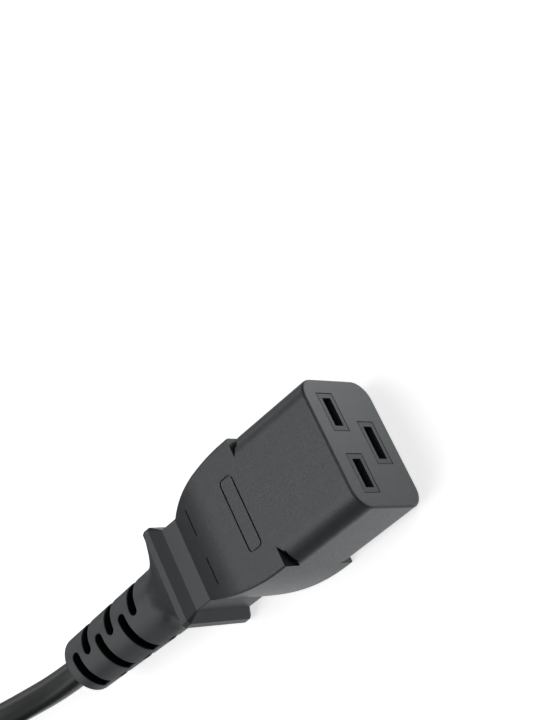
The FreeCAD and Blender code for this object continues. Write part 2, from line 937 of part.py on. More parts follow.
mouth_sine = s.plug_tilt.sine()
mouth_cosine = s.plug_tilt.cosine()
plug = Site(
    "plug",
    (
        s.plug_end_x + plug_length * mouth_cosine,
        s.coil_y + outer_turn - 2 * s.tail_turn_radius,
        coil_height
        + s.plug_rest_gap
        + s.shroud_length * mouth_sine
        + shroud_thickness / 2 * mouth_cosine,
    ),
    s.plug_tilt,
)


def shroud():
    """The wall round the pins, and the solid part behind its cavity."""
    body = plug.body("shroud")
    sketch = new_sketch(body, "shroud_outline", "YZ_Plane")
    corner = s.nose_corner + shroud_margin
    rounded_rectangle(sketch, shroud_width, shroud_thickness, corner)
    pad(body, sketch, s.shroud_length, reverse=True)
    return body


def shroud_cavity():
    body = plug.body("shroud_cavity")
    sketch = new_sketch(body, "shroud_cavity_outline", "YZ_Plane")
    gap = s.shroud_clearance
    width, thickness = s.nose_width + 2 * gap, s.nose_thickness + 2 * gap
    rounded_rectangle(sketch, width, thickness, s.nose_corner + gap)
    pad(body, sketch, s.shroud_depth, reverse=True)
    return body


def pin_bridge():
    body = plug.body("bridge")
    sketch = new_sketch(body, "bridge_outline", "YZ_Plane", -s.shroud_depth)
    rounded_rectangle(sketch, s.bridge_width, s.bridge_thickness, s.carrier_corner)
    pad(body, sketch, s.bridge_length, reverse=True)
    return body


def pin(name, length):
    """A flat nickel-plated pin with a chamfered tip, and the barrel behind the bridge."""
    y, z, slot_length = OPENINGS[name]
    body = plug.body(f"{name}_pin")
    sketch = new_sketch(body, f"{name}_pin_section", "YZ_Plane", -barrel_start)
    width = slot_length - 2 * s.pin_clearance
    height = s.slot_height - 2 * s.pin_clearance
    rectangle(sketch, width, height, (y, z))
    pad(body, sketch, length + s.bridge_length + s.pin_tail_length)
    tip = float(length) - float(s.shroud_depth)
    dress(body, "Chamfer", f"{name}_pin_tip", lambda p, e: abs(p.x - tip) < 1e-6, s.pin_tip)
    sketch = new_sketch(body, f"{name}_barrel_section", "YZ_Plane", -barrel_start)
    circle = Part.Circle(Vector(float(y), float(z), 0), Vector(0, 0, 1), float(s.core_radius))
    edge = sketch.addGeometry(circle, False)
    hold(sketch, s.core_radius + s.sheet_thickness / 2, "Radius", edge)
    hold(sketch, z, "DistanceY", -1, 1, edge, 3)
    if float(y):
        hold(sketch, y, "DistanceX", -1, 1, edge, 3)
    else:
        sketch.addConstraint(Sketcher.Constraint("PointOnObject", edge, 3, -2))
    pad(body, sketch, s.barrel_length, reverse=True)
    return body


plug_rear, plug_windows = rear_mouldings(plug, plug_waist)
plug_grip = grip(
    plug,
    s.shroud_length,
    s.plug_side_curve,
    s.plug_broad_straight,
    shroud_width - 2 * s.shroud_step,
    shroud_thickness - 2 * s.shroud_step,
)
plug_outside = combine("MultiFuse", "plug_outside", [shroud(), plug_grip, *plug_rear])
plug_pins = []
for pin_name in OPENINGS:
    pin_length = s.earth_pin_length if pin_name == "earth" else s.power_pin_length
    plug_pins.append(finish(f"plug_{pin_name}_pin", pin(pin_name, pin_length)))
pin_holes = combine("MultiFuse", "pin_holes", plug_pins)
finish("plug_pin_bridge", cut("bridge_with_holes", pin_bridge(), pin_holes))
plug_inside = [shroud_cavity(), plug_windows, finished["plug_pin_bridge"], *plug_pins]
plug_core_start = barrel_start + s.barrel_length
for pin_name, core in cores(plug, OPENINGS, plug_core_start, s.plug_jacket_front).items():
    plug_inside.append(finish(f"plug_{pin_name}_core", core))
plug_jacket = round_bar(
    plug, "jacket_end", s.plug_jacket_front, plug_length - s.plug_jacket_front, s.cord_radius
)
plug_inside.append(finish("plug_jacket_end", plug_jacket))
finish("plug_body", cut("plug_moulding", plug_outside, combine("MultiFuse", "plug_room", plug_inside)))


# ---------------------------------------------------------------- cord and coil


def around_coil(radius, angle):
    """A point at a radius and an angle from the coil's middle, on the floor."""
    turned = math.radians(float(angle))
    x = float(s.coil_x) + float(radius) * math.cos(turned)
    y = float(s.coil_y) + float(radius) * math.sin(turned)
    return Vector(x, y, 0)


entry_angle = math.radians(float(s.coil_entry_angle))
entry_touch = around_coil(outer_turn, s.coil_entry_angle)
entry_touch.z = 3 * float(s.cord_radius)
entry_way = Vector(-math.sin(entry_angle), math.cos(entry_angle), 0) * float(s.entry_lead)
entry_way.z = float(s.entry_drop)
coil_entry = entry_touch - entry_way
exit_touch = around_coil(outer_turn, 90.0)
exit_touch.z = float(s.cord_radius)
coil_exit = exit_touch - Vector(float(s.exit_lead), 0, 0)


def coil():
    """The outer shape of the four turns as one ring, with its two straight ends."""
    ring = doc.addObject("PartDesign::Body", "coil_ring")
    sketch = new_sketch(ring, "coil_section", "XZ_Plane")
    width = 4 * s.cord_radius
    middle = (s.coil_turn_radius, coil_height / 2)
    rounded_rectangle(sketch, width, coil_height, s.cord_radius, middle)
    feature = ring.newObject("PartDesign::Revolution", "coil_turn")
    feature.Profile = sketch
    feature.ReferenceAxis = (sketch, ["V_Axis"])
    bind(ring, Placement__Base__x=s.coil_x, Placement__Base__y=s.coil_y)
    radius = float(s.cord_radius)
    bars = []
    for name, start, end in (
        ("coil_entry", coil_entry, entry_touch),
        ("coil_exit", coil_exit, exit_touch),
    ):
        bar = doc.addObject("Part::Feature", name)
        bar.Shape = Part.makeCylinder(radius, (end - start).Length, start, end - start)
        bars.append(bar)
    return combine("MultiFuse", "coil", [ring, *bars])


def lead_route():
    """From the connector's strain relief to the coil, dipping a little on the way."""
    start = connector.point(-body_length)
    last_run = entry_way * (float(s.lead_last_run) / entry_way.Length)
    first_corner = start + Vector(-float(s.lead_first_run), 0, 0)
    return [start, first_corner, coil_entry - last_run, coil_entry]


def tail_route():
    """From the coil along the floor, round a half turn and up into the plug."""
    turn = float(s.tail_turn_radius)
    side = 2 * turn * math.tan(math.radians(18))
    corner_radius = turn / math.cos(math.radians(18))
    middle = coil_exit + Vector(-side / 2, -turn, 0)
    end = plug.point(-plug_length)
    last_run = plug.point(-plug_length - side) - end
    points = [coil_exit]
    for corner in range(5):
        angle = math.radians(108 + 36 * corner)
        climb = max(corner - 0.5, 0) * float(s.tail_climb)
        points.append(
            middle + Vector(corner_radius * math.cos(angle), corner_radius * math.sin(angle), climb)
        )
    points[-1] = end + last_run
    points.append(end)
    return points


finish("cord_coil", coil())
for cord_name, route in (("cord", lead_route()), ("cord_tail", tail_route())):
    print(cord_name, [tuple(round(value, 3) for value in point) for point in route])
    piece = doc.addObject("Part::Feature", cord_name)
    piece.Shape = tube(cord_name, route, s.cord_radius)
    finish(cord_name, piece)


# ---------------------------------------------------------------- export

doc.recompute()
for item in doc.Objects:
    if "Invalid" in item.State or "Error" in item.State:
        raise RuntimeError(f"{item.Name} did not build")
for node, item in finished.items():
    shape = item.Shape
    if shape.isNull() or not shape.isValid() or len(shape.Solids) != 1:
        raise RuntimeError(f"{node} is not one valid solid")
os.makedirs("parts", exist_ok=True)
for node, item in finished.items():
    item.Shape.exportStep(f"parts/{node}.step")
print(len(finished), "pieces written")
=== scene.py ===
import math

import bpy
from mathutils import Matrix, Vector


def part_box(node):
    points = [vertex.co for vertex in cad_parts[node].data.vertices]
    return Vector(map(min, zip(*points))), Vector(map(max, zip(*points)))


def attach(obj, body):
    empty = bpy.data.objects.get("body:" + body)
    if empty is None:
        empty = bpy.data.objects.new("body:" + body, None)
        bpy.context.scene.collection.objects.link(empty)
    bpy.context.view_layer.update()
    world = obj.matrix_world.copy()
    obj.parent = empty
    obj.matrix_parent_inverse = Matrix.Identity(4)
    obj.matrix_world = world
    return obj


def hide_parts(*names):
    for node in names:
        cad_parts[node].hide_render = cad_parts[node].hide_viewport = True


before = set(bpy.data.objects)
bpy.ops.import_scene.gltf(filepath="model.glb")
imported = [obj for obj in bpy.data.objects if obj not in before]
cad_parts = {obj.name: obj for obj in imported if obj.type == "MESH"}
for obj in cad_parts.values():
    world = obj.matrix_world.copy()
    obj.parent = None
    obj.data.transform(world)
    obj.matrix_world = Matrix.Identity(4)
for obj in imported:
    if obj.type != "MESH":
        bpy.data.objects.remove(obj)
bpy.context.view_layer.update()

bl_info = {
    "name": "C19 power connector",
    "version": (1, 0, 0),
    "blender": (4, 5, 0),
    "location": "View3D > Sidebar > Connector",
    "description": "Dresses the CAD model of a C19 connector, its cord and its C20 plug",
    "category": "Object",
}

MM = 0.001
OVERMOULD_LOW, OVERMOULD_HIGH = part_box("overmould_body")
# The mating face, and the height of the connector's axis above the floor.
FACE_X = OVERMOULD_HIGH.x
AXIS_HEIGHT = (OVERMOULD_LOW.z + OVERMOULD_HIGH.z) / 2
# Where the cord enters the plug, in millimetres, and how far the plug is tilted, in degrees.
PLUG_END = (-146.0, -47.5, 17.78)
PLUG_TILT = 6.0


# ------------------------------------------------------------------ node trees


class Value:
    """A number or colour travelling through a node tree; arithmetic on it adds nodes."""

    def __init__(self, tree, socket):
        self.tree = tree
        self.socket = socket

    def combined(self, operation, *values):
        """What a Math node makes of some values, in their order."""
        node = self.tree.nodes.new("ShaderNodeMath")
        node.operation = operation
        for socket, value in zip(node.inputs, values):
            self.tree.feed(socket, value)
        return Value(self.tree, node.outputs[0])

    def __add__(self, other):
        return self.combined("ADD", self, other)

    def __radd__(self, other):
        return self.combined("ADD", other, self)

    def __sub__(self, other):
        return self.combined("SUBTRACT", self, other)

    def __rsub__(self, other):
        return self.combined("SUBTRACT", other, self)

    def __mul__(self, other):
        return self.combined("MULTIPLY", self, other)

    def __rmul__(self, other):
        return self.combined("MULTIPLY", other, self)

    def __truediv__(self, other):
        return self.combined("DIVIDE", self, other)

    def __rtruediv__(self, other):
        return self.combined("DIVIDE", other, self)

    def root(self):
        return self.combined("SQRT", self)

    def size(self):
        """The number without its sign."""
        return self.combined("ABSOLUTE", self)

    def greatest(self, other):
        return self.combined("MAXIMUM", self, other)

    def clamped(self):
        """The number, kept between 0 and 1."""
        return self.tree.add("ShaderNodeClamp", Value=self)

    def past(self, start, fade):
        """0 up to a start, and 1 from one fade beyond it."""
        return ((self - start) / fade).clamped()

    def short_of(self, end, fade):
        """1 up to one fade before an end, and 0 from the end on."""
        return ((end - self) / fade).clamped()


class Tree:
    """A node tree under construction, with one way to add any node."""

    def __init__(self, node_tree):
        self.nodes = node_tree.nodes
        self.links = node_tree.links
        self.nodes.clear()

    def feed(self, socket, value):
        if isinstance(value, Value):
            self.links.new(value.socket, socket)
        else:
            socket.default_value = value

    def add(self, kind, settings=None, output=0, **inputs):
        """A node of a kind, its settings first and then its sockets, by name with _ for a space."""
        node = self.nodes.new(kind)
        for name, value in (settings or {}).items():
            setattr(node, name, value)
        for name, value in inputs.items():
            self.feed(node.inputs[name.replace("_", " ")], value)
        return Value(self, node.outputs[output])

    def close(self, kind, value):
        """End the tree in an output node of a kind."""
        output = self.nodes.new(kind)
        self.links.new(value.socket, output.inputs[0])


# The sockets that a Mix node has for colours.
MIX_FACTOR, MIX_FIRST, MIX_SECOND, MIX_RESULT = 0, 6, 7, 2


class Shader(Tree):
    """A material under construction."""

    def __init__(self, name):
        self.material = bpy.data.materials.new(name)
        self.material.use_nodes = True
        super().__init__(self.material.node_tree)

    def blend(self, factor, first, second):
        """A colour between two colours."""
        node = self.nodes.new("ShaderNodeMix")
        node.data_type = "RGBA"
        self.feed(node.inputs[MIX_FACTOR], factor)
        self.feed(node.inputs[MIX_FIRST], first)
        self.feed(node.inputs[MIX_SECOND], second)
        return Value(self, node.outputs[MIX_RESULT])

    def coordinates(self):
        """The object's own coordinates."""
        return self.add("ShaderNodeTexCoord", output="Object")

    def axes(self, origin=(0.0, 0.0, 0.0), tilt=0.0):
        """X, Y and Z of the object, measured from an origin and along axes tilted by degrees."""
        local = self.add(
            "ShaderNodeMapping",
            {"vector_type": "TEXTURE"},
            Vector=self.coordinates(),
            Location=origin,
            Rotation=(0.0, -math.radians(tilt), 0.0),
        )
        return [self.add("ShaderNodeSeparateXYZ", output=axis, Vector=local) for axis in "XYZ"]

    def noise(self, scale, detail, stretch=(1.0, 1.0, 1.0)):
        """Noise whose grain is about 1 / scale metres across."""
        place = self.add("ShaderNodeMapping", Vector=self.coordinates(), Scale=stretch)
        return self.add("ShaderNodeTexNoise", Vector=place, Scale=scale, Detail=detail)

    def finish(self, **inputs):
        """Close the material with a Principled surface."""
        self.close("ShaderNodeOutputMaterial", self.add("ShaderNodeBsdfPrincipled", **inputs))
        return self.material


class Wiring(Tree):
    """A Geometry Nodes tree under construction, with named inputs for its sizes."""

    def __init__(self, name, inputs):
        self.group = bpy.data.node_groups.new(name, "GeometryNodeTree")
        super().__init__(self.group)
        sockets = self.group.interface
        sockets.new_socket("Geometry", in_out="OUTPUT", socket_type="NodeSocketGeometry")
        self.identifiers = {}
        for label, kind in inputs.items():
            socket = sockets.new_socket(label, in_out="INPUT", socket_type=f"NodeSocket{kind}")
            self.identifiers[label] = socket.identifier
        self.group_input = self.nodes.new("NodeGroupInput")

    def given(self, label):
        """One of the tree's named inputs."""
        return Value(self, self.group_input.outputs[label])

    def join(self, parts):
        node = self.nodes.new("GeometryNodeJoinGeometry")
        for part in reversed(parts):
            self.links.new(part.socket, node.inputs[0])
        return Value(self, node.outputs[0])

    def finish(self, geometry, material):
        """Close the tree with Realize Instances and Set Material."""
        plain = self.add("GeometryNodeRealizeInstances", Geometry=geometry)
        dressed = self.add("GeometryNodeSetMaterial", Geometry=plain, Material=material)
        self.close("NodeGroupOutput", dressed)

    def mesh(self, name, values):
        """The mesh that the tree makes from these values of its inputs."""
        maker = bpy.data.objects.new(name, bpy.data.meshes.new(name))
        bpy.context.scene.collection.objects.link(maker)
        modifier = maker.modifiers.new(name, "NODES")
        modifier.node_group = self.group
        for label, value in values.items():
            modifier[self.identifiers[label]] = value
        graph = bpy.context.evaluated_depsgraph_get()
        mesh = bpy.data.meshes.new_from_object(maker.evaluated_get(graph))
        maker.modifiers.clear()
        bpy.data.objects.remove(maker)
        return mesh


# ------------------------------------------------------------------ settings


class MouldingSettings(bpy.types.PropertyGroup):
    """The moulded PVC of the connector and the plug"""

    level: bpy.props.FloatProperty(
        name="Grey level",
        description="How light the moulded PVC is, as a linear grey",
        default=0.03,
        min=0.0,
        max=1.0,
        subtype="FACTOR",
    )
    # The sleeve's grey is painted light: it is raised above the PVC's own grey so that the strain
    # relief looks more lit.
    sleeve_painted_light_level: bpy.props.FloatProperty(
        name="Sleeve painted light level",
        description="How light the strain relief is, as a linear grey",
        default=0.056,
        min=0.0,
        max=1.0,
        subtype="FACTOR",
    )
    roughness: bpy.props.FloatProperty(
        name="Roughness",
        description="How matt the spark-eroded surface is",
        default=0.36,
        min=0.0,
        max=1.0,
        subtype="FACTOR",
    )
    grain_size: bpy.props.FloatProperty(
        name="Grain size",
        description="Width of one grain of the spark-eroded texture",
        default=0.2 * MM,
        unit="LENGTH",
    )
    grain_depth: bpy.props.FloatProperty(
        name="Grain depth",
        description="Height of the spark-eroded texture",
        default=0.035 * MM,
        unit="LENGTH",
    )


class StrandSettings(bpy.types.PropertyGroup):
    """The bare copper wires in the crimps"""

    wire_radius: bpy.props.FloatProperty(
        name="Wire radius",
        description="Radius of one copper wire; five of them make the bundle's radius",
        default=0.188 * MM,
        unit="LENGTH",
    )
    twist: bpy.props.FloatProperty(
        name="Twist",
        description="Turns that the bundle makes over its bare length",
        default=0.3,
    )


class CordSettings(bpy.types.PropertyGroup):
    """The cord from the connector to the plug"""

    diameter: bpy.props.FloatProperty(
        name="Diameter",
        description="Outside diameter of the cord's jacket",
        default=6.0 * MM,
        unit="LENGTH",
    )
    level: bpy.props.FloatProperty(
        name="Grey level",
        description="How light the jacket is, as a linear grey",
        default=0.02,
        min=0.0,
        max=1.0,
        subtype="FACTOR",
    )
    turns: bpy.props.IntProperty(
        name="Turns",
        description="Turns of the coil, two outer and two inner",
        default=4,
    )


class StageSettings(bpy.types.PropertyGroup):
    """The light round the object"""

    daylight: bpy.props.FloatProperty(
        name="Fill light",
        description="Strength of the even light from all round",
        default=0.16,
        min=0.0,
    )


# ------------------------------------------------------------------ materials

PVC_TINT = (0.94, 0.98, 1.02)
GLOSS_TINT = (0.93, 0.965, 1.0, 1.0)
BLACK = (0.0, 0.0, 0.0, 1.0)
# How light the carrier's plastic is, as a linear grey.
CARRIER_LEVEL = 0.03

# The cord's end of each strain relief, and how far that relief is tilted, in degrees.
RELIEF_ENDS = {
    "overmould_body": ((OVERMOULD_LOW.x, 0.0, AXIS_HEIGHT), 0.0),
    "plug_body": (Vector(PLUG_END) * MM, PLUG_TILT),
}
# The relief's radius at the cord's end, and how much it grows along the relief.
RELIEF_RADIUS = 6.15 * MM
RELIEF_TAPER = 0.83 / 27.4
# Where the painted shade in the windows starts and ends along the relief and below its skin, each
# with its soft edge.
FIRST_WINDOW = 1.6 * MM
LAST_WINDOW = 27.6 * MM
WINDOW_FADE = 0.4 * MM
SKIN_DEPTH = 0.08 * MM
SKIN_FADE = 0.3 * MM
# The sleeve on the relief, which painted light makes paler, and its soft end towards the flange.
SLEEVE_LENGTH = 29.0 * MM
SLEEVE_FADE = 4.0 * MM
# The painted shade on the cut-away foot of the nose: from and to in depth behind the face, half
# width, half height.
FOOT_FROM = 18.75 * MM
FOOT_TO = 20.15 * MM
FOOT_HALF_WIDTH = 13.5 * MM
FOOT_HALF_HEIGHT = 9.65 * MM
# Each contact opening's middle in Y and Z and half its width, and half the height of all three.
OPENINGS = (
    (6.5 * MM, AXIS_HEIGHT + 4.0 * MM, 3.1 * MM),
    (-6.5 * MM, AXIS_HEIGHT + 4.0 * MM, 3.1 * MM),
    (0.0, AXIS_HEIGHT - 4.0 * MM, 3.6 * MM),
)
OPENING_HALF_HEIGHT = 1.25 * MM
# How far down an opening the painted shade starts, and over which depth.
MOUTH_DEPTH = 0.1 * MM
MOUTH_FADE = 1.2 * MM
# The soft edge of the painted shade at the foot and in the openings, and the one between a core's
# two colours.
EDGE = 0.1 * MM
STRIPE_EDGE = 0.5 * MM
# Each metal's tint and roughness.
METALS = {
    "contact brass": ((0.78, 0.62, 0.34), 0.3),
    "nickel plate": ((0.74, 0.73, 0.7), 0.24),
    "bare copper": ((0.85, 0.46, 0.28), 0.35),
}


def colour(level, tint=(1.0, 1.0, 1.0)):
    """A linear colour from a level and a tint."""
    return (*(level * share for share in tint), 1.0)


def distance(first, second):
    """The length of two coordinates together."""
    return (first * first + second * second).root()


def window_painted_shade(shader, origin, tilt):
    """Painted shade: 0 on the strain relief's skin and 1 well inside its windows."""
    along, across, up = shader.axes(origin, tilt)
    skin = RELIEF_RADIUS + along * RELIEF_TAPER
    below = (skin - distance(across, up)).past(SKIN_DEPTH, SKIN_FADE)
    behind = along.past(FIRST_WINDOW, WINDOW_FADE)
    ahead = along.short_of(LAST_WINDOW, WINDOW_FADE)
    return below * behind * ahead


def foot_painted_shade(shader):
    """Painted shade: 1 on the slanted cuts at the foot of the connector's nose, and 0 elsewhere."""
    along, across, up = shader.axes()
    behind = FACE_X - along
    within_x = behind.past(FOOT_FROM, EDGE) * behind.short_of(FOOT_TO, EDGE / 2)
    within_y = across.size().short_of(FOOT_HALF_WIDTH, EDGE)
    within_z = (up - AXIS_HEIGHT).size().short_of(FOOT_HALF_HEIGHT, EDGE)
    return within_x * within_y * within_z


def moulded_pvc(name, settings, relief_end):
    """Dark PVC with a fine spark-eroded grain; painted light makes the sleeve paler, and painted
    shade darkens its windows and the nose's foot.

    Where shade is painted the surface is black metal as well: that mirrors nothing, so the painted
    shade loses its gloss too.
    """
    shader = Shader(name)
    grain = shader.noise(1.0 / settings.grain_size, detail=1.5)
    mottle = shader.noise(220.0, detail=3.0)
    # Painted shade: down in the relief's windows and on the nose's foot the grey is darkened towards
    # black, and the surface turns to rougher black metal.
    inside = window_painted_shade(shader, *relief_end).greatest(foot_painted_shade(shader))
    along = shader.axes(*relief_end)[0]
    sleeve = along.short_of(SLEEVE_LENGTH, SLEEVE_FADE)
    fresh = colour(settings.level, PVC_TINT)
    # Painted light: the sleeve's paler grey makes the strain relief look more lit.
    painted_light_grey = colour(settings.sleeve_painted_light_level, PVC_TINT)
    tone_and_painted_shade = (0.93 + 0.08 * mottle + 0.06 * grain) * (1.0 - 0.9 * inside)
    fineness = 0.02 * (mottle - 0.5) + 0.35 * (grain - 0.5)
    bump = shader.add(
        "ShaderNodeBump", Height=grain * settings.grain_depth, Distance=1.0, Strength=1.0
    )
    return shader.finish(
        Base_Color=shader.blend(tone_and_painted_shade.clamped(), BLACK, shader.blend(sleeve, fresh, painted_light_grey)),
        Metallic=0.8 * inside,
        Roughness=settings.roughness + fineness + 0.14 * sleeve + 0.5 * inside,
        Normal=bump,
        Specular_Tint=GLOSS_TINT,
    )


def satin_plastic(name):
    """Satin plastic of the contact carrier, with painted shade down in its three openings."""
    shader = Shader(name)
    cloud = shader.noise(500.0, detail=2.0)
    along, across, up = shader.axes()
    openings = sum(
        (across - middle_y).size().short_of(half_width, EDGE)
        * (up - middle_z).size().short_of(OPENING_HALF_HEIGHT, EDGE)
        for middle_y, middle_z, half_width in OPENINGS
    )
    # Painted shade: down in the openings the grey is darkened towards black, and the surface turns
    # to rougher black metal.
    depth = (FACE_X - along).past(MOUTH_DEPTH, MOUTH_FADE) * openings
    tone_and_painted_shade = (0.92 + 0.08 * cloud) * (1.0 - 0.9 * depth)
    return shader.finish(
        Base_Color=shader.blend(tone_and_painted_shade.clamped(), BLACK, colour(CARRIER_LEVEL, PVC_TINT)),
        Metallic=0.95 * depth,
        Roughness=0.42 + 0.06 * cloud + 0.5 * depth,
        Specular_Tint=GLOSS_TINT,
    )


def cord_jacket(name, level):
    """Satin PVC of the cord's jacket, faintly cloudy."""
    shader = Shader(name)
    cloud = shader.noise(350.0, detail=3.0)
    bump = shader.add("ShaderNodeBump", Height=cloud * (0.01 * MM), Distance=1.0, Strength=1.0)
    return shader.finish(
        Base_Color=shader.blend(
            cloud, colour(level * 0.9, PVC_TINT), colour(level * 1.1, PVC_TINT)
        ),
        Roughness=0.3 + 0.06 * cloud,
        Normal=bump,
    )


def bright_metal(name):
    """Plated or stamped metal with fine rolling marks."""
    tint, roughness = METALS[name]
    shader = Shader(name)
    marks = shader.noise(300.0, detail=4.0, stretch=(0.15, 3.0, 3.0))
    return shader.finish(
        Base_Color=shader.blend(marks, colour(0.9, tint), colour(1.0, tint)),
        Metallic=1.0,
        Roughness=roughness + 0.12 * (marks - 0.5),
    )


def insulation(node, tint, second_tint=None):
    """Satin PVC of a core, with a second colour on one of its lengthwise halves where it has one."""
    shader = Shader(f"insulation of {node}")
    cloud = shader.noise(400.0, detail=2.0)
    base = shader.blend(cloud, colour(0.92, tint), colour(1.0, tint))
    if second_tint:
        low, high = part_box(node)
        across = shader.axes((0.0, (low.y + high.y) / 2, 0.0))[1]
        half = across.past(-STRIPE_EDGE / 2, STRIPE_EDGE)
        base = shader.blend(half, base, colour(1.0, second_tint))
    return shader.finish(Base_Color=base, Roughness=0.45)


def give_material(thing, material):
    thing.data.materials.clear()
    thing.data.materials.append(material)


def dress_node(name, material):
    """Keep a CAD node as it is and give it a finish."""
    give_material(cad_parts[name], material)


# ------------------------------------------------------------------ mouldings, metal and cores

CONDUCTORS = ("line", "neutral", "earth")
# Brown, blue, and green with yellow.
CORE_TINTS = {
    "line": ((0.25, 0.12, 0.06),),
    "neutral": ((0.06, 0.16, 0.45),),
    "earth": ((0.07, 0.28, 0.06), (0.7, 0.6, 0.04)),
}
# Wires in each ring of a strand bundle, from its middle outwards.
STRAND_RINGS = (1, 6, 12)


class CONNECTOR_OT_overmould(bpy.types.Operator):
    """Give the connector's overmould and the plug's body their grained PVC"""

    bl_idname = "connector.overmould"
    bl_label = "Overmould"

    def execute(self, context):
        settings = context.scene.connector_moulding
        for name, relief_end in RELIEF_ENDS.items():
            dress_node(name, moulded_pvc(f"moulded PVC of {name}", settings, relief_end))
        return {"FINISHED"}


class CONNECTOR_OT_carrier(bpy.types.Operator):
    """Give the contact carrier, its cap and the plug's bridge their smooth plastic"""

    bl_idname = "connector.carrier"
    bl_label = "Contact carrier"

    def execute(self, context):
        material = satin_plastic("carrier plastic")
        for name in ("contact_carrier", "carrier_cap", "plug_pin_bridge"):
            dress_node(name, material)
        return {"FINISHED"}


class CONNECTOR_OT_metal(bpy.types.Operator):
    """Give the contacts and pins their metals"""

    bl_idname = "connector.metal"
    bl_label = "Contacts and pins"

    def execute(self, context):
        brass = bright_metal("contact brass")
        nickel = bright_metal("nickel plate")
        for name in CONDUCTORS:
            dress_node(f"{name}_contact", brass)
            dress_node(f"plug_{name}_pin", nickel)
        return {"FINISHED"}


def strand_tree(material):
    """Rings of wires twisted together round the Z axis, up from the origin."""
    tree = Wiring("strand bundle", {"Wire radius": "Float", "Length": "Float", "Twist": "Float"})
    radius = tree.given("Wire radius")
    profile = tree.add("GeometryNodeCurvePrimitiveCircle", Resolution=8, Radius=radius)
    index = tree.add("GeometryNodeInputIndex")
    rings = []
    for ring, wires in enumerate(STRAND_RINGS):
        wire = tree.add(
            "GeometryNodeCurveSpiral",
            Resolution=12,
            Rotations=tree.given("Twist"),
            Start_Radius=radius * (2.0 * ring),
            End_Radius=radius * (2.0 * ring),
            Height=tree.given("Length"),
        )
        turned = tree.add(
            "GeometryNodeInstanceOnPoints",
            Points=tree.add("GeometryNodePoints", Count=wires),
            Instance=wire,
            Rotation=tree.add("ShaderNodeCombineXYZ", Z=index * (2 * math.pi / wires)),
        )
        rings.append(turned)
    curves = tree.add("GeometryNodeRealizeInstances", Geometry=tree.join(rings))
    bundle = tree.add(
        "GeometryNodeCurveToMesh", Curve=curves, Profile_Curve=profile, Fill_Caps=True
    )
    tree.finish(bundle, material)
    return tree


class CONNECTOR_OT_strands(bpy.types.Operator):
    """Twist the bare copper wires of each core together where its crimp holds them"""

    bl_idname = "connector.strands"
    bl_label = "Copper strands"

    def execute(self, context):
        settings = context.scene.connector_strands
        tree = strand_tree(bright_metal("bare copper"))
        for name in CONDUCTORS:
            low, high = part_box(f"{name}_strands")
            sizes = {
                "Wire radius": settings.wire_radius,
                "Length": high.x - low.x,
                "Twist": settings.twist,
            }
            mesh = tree.mesh(f"{name}_wires", sizes)
            middle = (low + high) / 2
            place = Matrix.Translation((low.x, middle.y, middle.z))
            mesh.transform(place @ Matrix.Rotation(math.pi / 2, 4, "Y"))
            wires = bpy.data.objects.new(f"{name}_wires", mesh)
            context.scene.collection.objects.link(wires)
            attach(wires, "root")
            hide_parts(f"{name}_strands")
        return {"FINISHED"}


class CONNECTOR_OT_cores(bpy.types.Operator):
    """Give the insulated cores their colours"""

    bl_idname = "connector.cores"
    bl_label = "Cores"

    def execute(self, context):
        for name, tints in CORE_TINTS.items():
            for node in (f"{name}_core", f"plug_{name}_core"):
                dress_node(node, insulation(node, *tints))
        return {"FINISHED"}


# ------------------------------------------------------------------ cord

# The cord's route is in millimetres. The lead runs from the strain relief to the coil and dips a
# little on the way. The tail runs along the floor, round a half turn and up into the plug.
LEAD = (
    (-42.25, 0.0, 9.85),
    (-50.75, 0.0, 9.85),
    (-67.02, 2.64, 7.97),
    (-77.41, 4.1, 8.3),
)
TAIL = (
    (-146.0, 7.5, 3.0),
    (-163.87, 7.5, 3.0),
    (-178.33, -3.0, 4.6),
    (-183.85, -20.0, 7.8),
    (-178.33, -37.0, 11.0),
    (-163.77, -47.5, 15.91),
    PLUG_END,
)
COIL_MIDDLE = Vector((-104.0, -27.0, 0.0))
OUTER_TURN, INNER_TURN = 34.5, 28.5
UPPER_TURN, LOWER_TURN = 9.0, 3.0
POINTS_PER_TURN = 16
# Where the coil starts, how far it runs past its last whole turn, and how much of each turn's end
# the cord takes to cross to the next turn, in degrees.
COIL_START = 82.0
COIL_OVERRUN = 8.0
CROSSING = 80.0


def coil_points(turns):
    """Two turns on top and two below: the outer pair joins the lead and the tail."""
    radii = (OUTER_TURN, INNER_TURN, INNER_TURN, OUTER_TURN)
    heights = (UPPER_TURN, UPPER_TURN, LOWER_TURN, LOWER_TURN)
    steps = POINTS_PER_TURN * turns
    points = []
    for step in range(steps + 1):
        travelled = (360.0 * turns + COIL_OVERRUN) * step / steps
        turn = min(int(travelled // 360.0), turns - 1)
        following = min(turn + 1, turns - 1)
        crossed = max(0.0, (travelled - 360.0 * (turn + 1) + CROSSING) / CROSSING)
        share = crossed * crossed * (3.0 - 2.0 * crossed) if following > turn else 0.0
        radius = radii[turn] + (radii[following] - radii[turn]) * share
        height = heights[turn] + (heights[following] - heights[turn]) * share
        angle = math.radians(COIL_START + travelled)
        around = Vector((radius * math.cos(angle), radius * math.sin(angle), height))
        points.append(COIL_MIDDLE + around)
    return points


